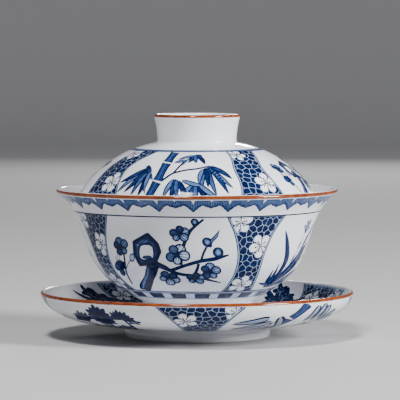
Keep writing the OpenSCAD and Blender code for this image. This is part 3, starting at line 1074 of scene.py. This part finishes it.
def chrysanthemumHead(art, x, y, r, turn=90, spread=360, layer=2.5, petals=13, heavy=0.0):
    # rings of blunt petals, the outer ones underneath
    for ring, (reach, count) in enumerate(((1.0, petals), (0.68, max(petals - 3, 3)),
                                           (0.4, max(petals - 6, 3)))):
        for k in range(count):
            angle = math.radians(turn + spread * ((k + 0.5) / count - 0.5))
            c, s = math.cos(angle), math.sin(angle)
            far = reach * r * (1 if k % 2 else 0.9)
            root, tip = (x + 0.08 * r * c, y + 0.08 * r * s), (x + far * c, y + far * s)
            wide = min(0.36, math.radians(spread) / count * 0.8) * r * (0.5 + 0.5 * reach)
            brush(art, (root, tip), (0.1, 0.45 * wide, 0.8 * wide, wide, 1.05 * wide, 0.9 * wide,
                                     0.3 * wide),
                  layer + 0.9 * ring + 0.25 * (k % 3), (1.0, 0.5 + 0.15 * ring + heavy, 1.0), 0.3, 12)
    blot(art, roundOutline(x, y, 0.16 * r, 0.16 * r, 0, 10), None, layer + 3.4, (0.95, 0.8, 0.6), 0)


def lobedLeaf(art, x, y, size, turn, layer=2):
    outline = []
    c, s = math.cos(math.radians(turn)), math.sin(math.radians(turn))
    for i in range(30):
        t = 2 * math.pi * i / 30
        reach = 1 + 0.30 * math.cos(5 * t)
        u, v = size * (0.5 + 0.55 * reach * math.cos(t)), size * 0.42 * reach * math.sin(t)
        outline.append((x + u * c - v * s, y + u * s + v * c))
    blot(art, outline, (x + 0.5 * size * c, y + 0.5 * size * s), layer, (1.0, 0.9, 0.78), 0.2)
    line(art, ((x, y), (x + size * 0.9 * c, y + size * 0.9 * s)), 0.2, layer + 0.5, 0.25, 5)
    for u, v in ((0.5, 0.28), (0.5, -0.28), (0.75, 0.2), (0.75, -0.2)):
        a = (x + 0.3 * size * c, y + 0.3 * size * s)
        b = (x + size * (u * c - v * s), y + size * (u * s + v * c))
        line(art, (a, b), 0.14, layer + 0.5, 0.3, 4)


def chrysanthemumPanel(art):
    line(art, ((-1.0, 0.4), (-0.2, 9.0), (2.0, 16.0), (3.8, 22.6)), 0.6, 1.2, 0.85)
    line(art, ((-0.6, 6.2), (-5.6, 13.6), (-9.6, 18.6)), 0.5, 1.2, 0.85)
    line(art, ((0.2, 10.2), (7.8, 14.0), (12.6, 18.0)), 0.5, 1.2, 0.85)
    chrysanthemumHead(art, 4.0, 26.2, 5.0, 90, 360)
    chrysanthemumHead(art, -10.6, 21.6, 4.2, 110, 290)
    chrysanthemumHead(art, 14.0, 20.6, 3.6, 60, 240)
    for x, y, size, turn in ((0.0, 13.4, 5.6, 150), (1.6, 12.0, 5.6, 20), (-3.4, 10.0, 5.4, 190),
                             (8.4, 14.0, 4.6, -30),
                             (-6.6, 15.2, 4.4, 60), (-0.6, 4.6, 6.0, 160), (-0.2, 4.2, 6.2, 14),
                             (4.0, 20.4, 4.2, 170)):
        lobedLeaf(art, x, y, size, turn)
    for x, y, size in ((-15.6, 3.0, 2.6), (-12.8, 2.2, 3.2), (12.4, 2.2, 3.4), (15.6, 2.8, 2.4)):
        blot(art, softened([(x - size, y - 1.6), (x + size, y - 1.6), (x + 0.7 * size, y + 0.8),
                            (x, y + 1.7),
                            (x - 0.8 * size, y + 0.6)]), None, 1.6, (0.95, 0.6, 0.4), 0.24)


def saucerChrysanthemum(art):
    brush(art, ((4.6, 5.0), (4.4, 12.0), (4.2, 20.0), (3.8, 26.0)), (0.8, 1.1, 1.1, 1.0), 1.2,
          (1.0, 0.9, 1.0))
    brush(art, ((4.4, 10.0), (0.0, 15.0), (-4.4, 20.0), (-5.4, 24.0)), (0.7, 0.9, 0.9, 0.8), 1.2,
          (1.0, 0.9, 1.0))
    brush(art, ((5.0, 8.0), (8.6, 14.0), (12.4, 20.0), (13.6, 27.0)), (0.8, 1.2, 1.2, 1.0), 1.2,
          (1.0, 0.9, 1.0))
    chrysanthemumHead(art, 3.8, 27.6, 6.2, 96, 360, 2.5, 15, 0.32)
    chrysanthemumHead(art, -5.6, 23.8, 6.8, 108, 150, 2.5, 8, 0.32)
    chrysanthemumHead(art, 13.2, 27.0, 5.2, 84, 200, 2.5, 10, 0.32)
    for x, y, size, turn in ((14.2, 25.4, 4.4, 4), (12.2, 19.6, 4.6, 170), (9.8, 17.4, 5.4, 175),
                             (4.0, 19.0, 4.6, 160),
                             (-2.0, 17.0, 5.4, 170), (8.0, 13.4, 5.6, 6), (5.2, 9.0, 6.0, 4),
                             (4.2, 9.2, 6.0, 176)):
        lobedLeaf(art, x, y, size, turn, 1.6)


def saucerBamboo(art):
    bambooCane(art, ((-14.0, 6.0), (-10.4, 17.0), (-7.2, 26.8), (-2.6, 34.0)), 4.6)
    bambooCane(art, ((-4.6, 10.0), (0.6, 17.0), (5.6, 22.4)), 2.2, 1.2)
    line(art, ((-10.4, 17.4), (-12.6, 21.0), (-13.4, 25.0)), 0.8, 1.6, 0.97)
    line(art, ((0.6, 17.0), (3.6, 20.6), (9.0, 23.4), (12.0, 25.4)), 0.8, 1.6, 0.97)
    for k, (root, tip, wide) in enumerate((
            ((-17.0, 27.8), (-29.0, 24.6), 3.4), ((-14.4, 25.2), (-25.6, 18.6), 3.4),
            ((-12.4, 20.8), (-21.6, 12.0), 3.4),
            ((-12.8, 28.4), (-6.8, 16.4), 2.8), ((3.8, 32.6), (1.6, 23.6), 3.0),
            ((7.4, 33.2), (5.4, 23.4), 3.0),
            ((10.4, 32.4), (9.6, 24.6), 2.8), ((17.6, 29.4), (11.0, 25.0), 2.8),
            ((18.6, 25.6), (11.6, 22.6), 2.6),
            ((13.6, 17.6), (6.4, 20.0), 2.8), ((-17.0, 8.6), (-24.0, 5.0), 2.8),
            ((0.0, 8.4), (-6.0, 12.4), 2.8))):
        bluntLeaf(art, root, tip, 1.35 * wide, 2.0 + 0.6 * (k % 3))


def saucerTopLeaves(art):
    # seen across the dish: a spray of dark pointed leaves
    brush(art, ((14.0, 2.0), (12.4, 9.0), (9.4, 16.0), (5.6, 23.0)), (0.8, 1.0, 1.0, 0.6), 1.2,
          (1.0, 0.9, 1.0))
    leaf(art, (9.0, 16.0), (-2.6, 27.6), 2.6, 1.6, (1.0, 0.8, 1.0), 0.6)
    leaf(art, (22.4, 6.0), (12.8, 15.6), 2.2, 1.6, (1.0, 0.9, 1.0), 0.4)
    for x, y, size, turn in ((9.0, 17.0, 8.6, 95), (10.0, 15.0, 8.4, 40), (8.6, 16.4, 8.2, 150),
                             (12.6, 8.6, 8.6, 60),
                             (12.4, 8.4, 8.2, 160), (13.4, 4.8, 7.4, 10), (15.6, 13.0, 7.6, 70),
                             (6.2, 22.0, 6.4, 110)):
        lobedLeaf(art, x, y, size, turn, 1.6)


# bands of cracked ice with plum blossoms left white

def halfWidthAt(shape):
    heights, widths = [h for h, w in shape], [w for h, w in shape]

    def at(y):
        y = min(max(y, heights[0]), heights[-1])
        k = min(bisect.bisect_right(heights, y), len(heights) - 1)
        span = heights[k] - heights[k - 1]
        t = (y - heights[k - 1]) / span
        slopeA = (widths[k] - widths[max(k - 2, 0)]) / (heights[k] - heights[max(k - 2, 0)])
        after = min(k + 1, len(heights) - 1)
        slopeB = (widths[after] - widths[k - 1]) / (heights[after] - heights[k - 1])
        h1, h2 = 2 * t ** 3 - 3 * t * t + 1, t ** 3 - 2 * t * t + t
        return (h1 * widths[k - 1] + h2 * span * slopeA + (1 - h1) * widths[k]
                + (t ** 3 - t * t) * span * slopeB)

    return at


iceBlock = 4    # half the square that each cell is cut from, mm
iceFar = 9      # cells further apart than this don't cut each other, mm


def iceCell(seed, others, gap):
    sx, sy = seed
    left, right, bottom, top = sx - iceBlock, sx + iceBlock, sy - iceBlock, sy + iceBlock
    cell = [(left, bottom), (right, bottom), (right, top), (left, top)]
    for ox, oy in others:
        far = math.dist(seed, (ox, oy))
        if far < 1e-6 or far > iceFar:
            continue
        nx, ny = (ox - sx) / far, (oy - sy) / far
        limit = far / 2 - gap / 2
        kept = []
        for a, b in zip(cell, cell[1:] + cell[:1]):
            da = (a[0] - sx) * nx + (a[1] - sy) * ny - limit
            db = (b[0] - sx) * nx + (b[1] - sy) * ny - limit
            if da <= 0:
                kept.append(a)
            if da * db < 0:
                t = da / (da - db)
                kept.append((a[0] + (b[0] - a[0]) * t, a[1] + (b[1] - a[1]) * t))
        cell = kept
        if len(cell) < 3:
            return []
    return cell


def areaOf(cell):
    return sum(a[0] * b[1] - b[0] * a[1] for a, b in zip(cell, cell[1:] + cell[:1])) / 2


def iceBand(art, band, seedNumber):
    dice = random.Random(seedNumber)
    half, bottom, top = band["half"], band["bottom"], band["top"]
    pitch, border = band["pitch"], band["border"]
    lean = band.get("lean", lambda y: 0.0)
    patch(art, lambda y: lean(y) - half(y), lambda y: lean(y) + half(y), bottom, top, 0, 0.25, 1.2, 0.9)
    for side in (-1, 1):
        for inset in (0.14, border - 0.14):
            path = []
            steps = max(8, int((top - bottom) / 0.9))
            for i in range(steps + 1):
                y = bottom + (top - bottom) * i / steps
                path.append((lean(y) + side * (half(y) - inset), y))
            brush(art, path, (0.38, 0.38), 1, (0.95, 0.95, 0.95), steps=steps)
    seeds = []
    rows = int((top - bottom) / (pitch * 0.87)) + 3
    for row in range(rows):
        y = bottom + (row - 0.8) * pitch * 0.87
        reach = half(y) + 1.5 * pitch
        count = int(reach / pitch) + 1
        for k in range(-count, count + 1):
            x = lean(y) + (k + 0.5 * (row % 2)) * pitch
            seeds.append((x + dice.uniform(-0.3, 0.3) * pitch, y + dice.uniform(-0.27, 0.27) * pitch))
    for seed in seeds:
        cell = iceCell(seed, [o for o in seeds if o is not seed], band["gap"])
        if len(cell) < 3:
            continue
        fine = []
        for a, b in zip(cell, cell[1:] + cell[:1]):
            fine += [a, ((a[0] + b[0]) / 2, (a[1] + b[1]) / 2)]
        clipped = []
        for x, y in fine:
            y = min(max(y, bottom + 0.25), top - 0.25)
            room = half(y) - border - 0.02
            clipped.append((min(max(x, lean(y) - room), lean(y) + room), y))
        if areaOf(clipped) < 0.7:
            continue
        clipped = [a for a, b in zip(clipped, clipped[-1:] + clipped[:-1]) if math.dist(a, b) > 0.05]
        outline = [((a[0] + 14 * b[0] + c[0]) / 16, (a[1] + 14 * b[1] + c[1]) / 16)
                   for a, b, c in zip(clipped[-1:] + clipped[:-1], clipped, clipped[1:] + clipped[:1])]
        tone = dice.uniform(0.9, 1.0)
        blot(art, outline, None, 1.3, (tone, tone, tone * 0.96), 0)

    def keepIn(x, y):
        y = min(max(y, bottom + 0.2), top - 0.2)
        room = half(y) - border + 0.15
        return min(max(x, lean(y) - room), lean(y) + room), y

    for x, y, r, turn in band["blossoms"]:
        whiteBlossom(art, lean(y) + x, y, r, turn, 2.2, keepIn)


bowlBand = {
    "half": halfWidthAt(((9.9, 6.4), (16.0, 5.5), (24.0, 5.2), (30.0, 5.9), (37.0, 8.4), (44.0, 12.6))),
    "bottom": 10.6, "top": 43.4, "pitch": 2.65, "gap": 0.17, "border": 1.05,
    "blossoms": ((-6.6, 41.2, 4.5, 22), (3.0, 31.8, 4.6, 50), (-0.4, 15.2, 4.4, 5)),
}
lidBand = {
    "half": halfWidthAt(((0.6, 10.9), (3.2, 9.8), (9.0, 7.8), (15.7, 6.5), (22.0, 6.0), (28.8, 6.2))),
    "lean": lambda y: 2.6 * max(0, (y - 18) / 11) - 0.9 * max(0, 1 - abs(y - 15) / 9),
    "bottom": 1.0, "top": 28.8, "pitch": 2.7, "gap": 0.17, "border": 1.0,
    "blossoms": ((3.4, 9.6, 4.6, 15), (-3.0, 25.6, 3.6, 60)),
}
saucerUnderBand = {
    "half": halfWidthAt(((1.0, 2.2), (6.0, 3.8), (13.0, 5.4), (18.0, 6.3), (21.4, 7.3), (24.6, 8.7),
                         (27.4, 10.4),
                         (29.8, 12.2), (32.1, 14.4), (33.8, 16.2))),
    "bottom": 1.2, "top": 33.9, "pitch": 2.8, "gap": 0.21, "border": 1.1,
    "blossoms": ((-5.4, 27.0, 4.4, 40), (12.4, 31.6, 4.2, 10), (1.0, 11.0, 4.0, 0)),
}
saucerTopBand = {
    "half": halfWidthAt(((1.0, 2.4), (10.0, 5.0), (20.0, 9.6), (31.0, 15.8))),
    "bottom": 1.0, "top": 31.2, "pitch": 2.9, "gap": 0.20, "border": 1.1,
    "blossoms": ((-6.2, 24.6, 4.2, 10), (8.4, 27.0, 4.2, 35), (0.6, 12.6, 3.6, 60)),
}


bowlBorders = {
    # height up the wall, width, layer and ink of each ring
    "rings": ((43.5, 0.55, 1.6, 1.0), (10.75, 0.5, 2, 1.0), (10.2, 0.9, 0.5, 0.2),
              (9.75, 0.45, 2, 1.0), (5.6, 0.4, 1, 0.7), (7.6, 3.9, 0, 0.14)),
    "lappets": 20,
    "lappetRadius": 25.6,
    "lappetShare": 0.6,     # of the way round that is inked
    "lappetFoot": 6.0,
    "lappetTop": 9.4,
    "lappetTurn": 4,        # degrees
}


def paintBowl():
    surface = surfaces["bowl"]
    bands = newPainting(surface)
    for k in range(4):
        moveTo(bands, 29.2 + 90 * k)
        iceBand(bands, bowlBand, 11 + k)
    finishPainting(bands, "bowlIceBands", "bowl")
    for name, centre, motif in (("bowlPlum", -15.6, plumPanel), ("bowlOrchid", 74.4, orchidPanel),
                                ("bowlChrysanthemum", 164.4, chrysanthemumPanel),
                                ("bowlBamboo", -105.6, bambooPanel)):
        art = newPainting(surface)
        moveTo(art, centre, 10.8)
        motif(art)
        finishPainting(art, name, "bowl")
    borders = newPainting(surface)
    for ring in bowlBorders["rings"]:
        ringLine(borders, *ring)
    lappets = bowlBorders["lappets"]
    wide = 2 * math.pi * bowlBorders["lappetRadius"] / lappets * bowlBorders["lappetShare"]

    def lappetHalf(y):      # it widens with the wall
        return wide / 2 * (0.84 + 0.036 * y)

    for k in range(lappets):
        moveTo(borders, 360 / lappets * k + bowlBorders["lappetTurn"])
        patch(borders, lambda y: -lappetHalf(y), lappetHalf, bowlBorders["lappetFoot"],
              bowlBorders["lappetTop"],
              1.2, lambda u, v: 1.0 - 0.05 * math.sin(math.pi * u), 0.9, 0.9)
    moveTo(borders, 0)
    paintLace(borders)
    finishPainting(borders, "bowlBorders", "bowl")


lace = {
    "top": 51.9,       # length up the wall, mm
    "pendants": 24,
    # depth below the top across half a repeat, in degrees and mm
    "edge": ((0.0, 6.2), (0.6, 6.0), (1.1, 5.2), (1.8, 4.8), (2.3, 4.1), (3.1, 3.5), (3.9, 2.9), (4.5, 3.1),
             (5.1, 3.6), (5.9, 3.8), (6.8, 4.1), (7.2, 4.4), (7.5, 4.45)),
    "threads": 22,     # fine radial lines in one repeat
}


def paintLace(art):
    period = 360 / lace["pendants"]
    count = lace["threads"] * lace["pendants"] * 2
    degrees, depths = [d for d, _ in lace["edge"]], [h for _, h in lace["edge"]]
    rows = [[] for _ in range(6)]
    for i in range(count + 1):
        turn = 360 * i / count
        near = abs((turn + period / 2) % period - period / 2)
        k = min(bisect.bisect_right(degrees, near), len(degrees) - 1)
        t = (near - degrees[k - 1]) / (degrees[k] - degrees[k - 1])
        depth = depths[k - 1] + (depths[k] - depths[k - 1]) * min(max(t, 0), 1)
        # the upper edge dips at each pendant and halfway between two
        notch = max(0, 2.5 - near * 3.2, 1.1 - (period / 2 - near) * 2.4)
        thread = 0.32 if i % 2 else -0.2
        for j, row in enumerate(rows):
            v = j / 5
            y = lace["top"] - depth + (depth - notch) * v
            r = onSurface(art["surface"], y * mm)[0] / mm
            ink = 0.52 + (0.08 if j in (0, 5) else thread) + (0.18 if v < 0.3 else 0)
            row.append((math.radians(turn - 180 - 1.5) * r, y, ink))
    grid(art, rows, 1)


lidRings = (
    # height up the wall, width, layer and ink
    (29.1, 1.3, 2.4, 0.55), (28.5, 0.5, 2.6, 0.95), (29.7, 0.4, 2.6, 0.85), (0.95, 0.4, 2.4, 0.7))


def paintLid():
    surface = surfaces["lid"]
    bands = newPainting(surface)
    for k in range(4):
        moveTo(bands, 34.5 + 90 * k)
        iceBand(bands, lidBand, 31 + k)
    moveTo(bands, 0)
    for ring in lidRings:
        ringLine(bands, *ring)
    finishPainting(bands, "lidIceBands", "lid")
    for name, centre, motif, footHeight, size in (
            ("lidBamboo", -8.5, lidBamboo, 0, 1), ("lidPlum", 79.5, plumPanel, 1.6, 0.72),
            ("lidOrchid", 169.5, orchidPanel, 1.6, 0.8),
            ("lidChrysanthemum", -100.5, chrysanthemumPanel, 1.6, 0.78)):
        art = newPainting(surface)
        moveTo(art, centre, footHeight, size)
        motif(art)
        finishPainting(art, name, "lid")


def paintSaucer():
    for side, band, start, names in (
            ("saucerUnder", saucerUnderBand, 1.5, ("Chrysanthemum", "Bamboo", "Plum", "Orchid")),
            ("saucerTop", saucerTopBand, 27.0, ("Plum", "Orchid", "Leaves", "Spray"))):
        surface = surfaces[side]
        bands = newPainting(surface)
        for k in range(4):
            moveTo(bands, start + 90 * k)
            iceBand(bands, band, 51 + k + (10 if side == "saucerTop" else 0))
        finishPainting(bands, side + "IceBands", "saucer")
        motifs = {
            "Chrysanthemum": (saucerChrysanthemum, 0.0, 1.0), "Bamboo": (saucerBamboo, 0.0, 1.0),
            "Plum": (plumPanel, 5.0, 0.78), "Orchid": (orchidPanel, 5.0, 0.84),
            "Leaves": (saucerTopLeaves, 2.0, 1.0), "Spray": (saucerTopLeaves, 2.0, 1.0)}
        for k, name in enumerate(names):
            motif, footHeight, size = motifs[name]
            art = newPainting(surface)
            turn = {"Leaves": -13, "Spray": -16}.get(name, 0)
            moveTo(art, start - 45 + 90 * k + turn, footHeight, size)
            motif(art)
            finishPainting(art, side + name, "saucer")


paintBowl()
paintLid()
paintSaucer()
print("the cobalt painting is laid on")
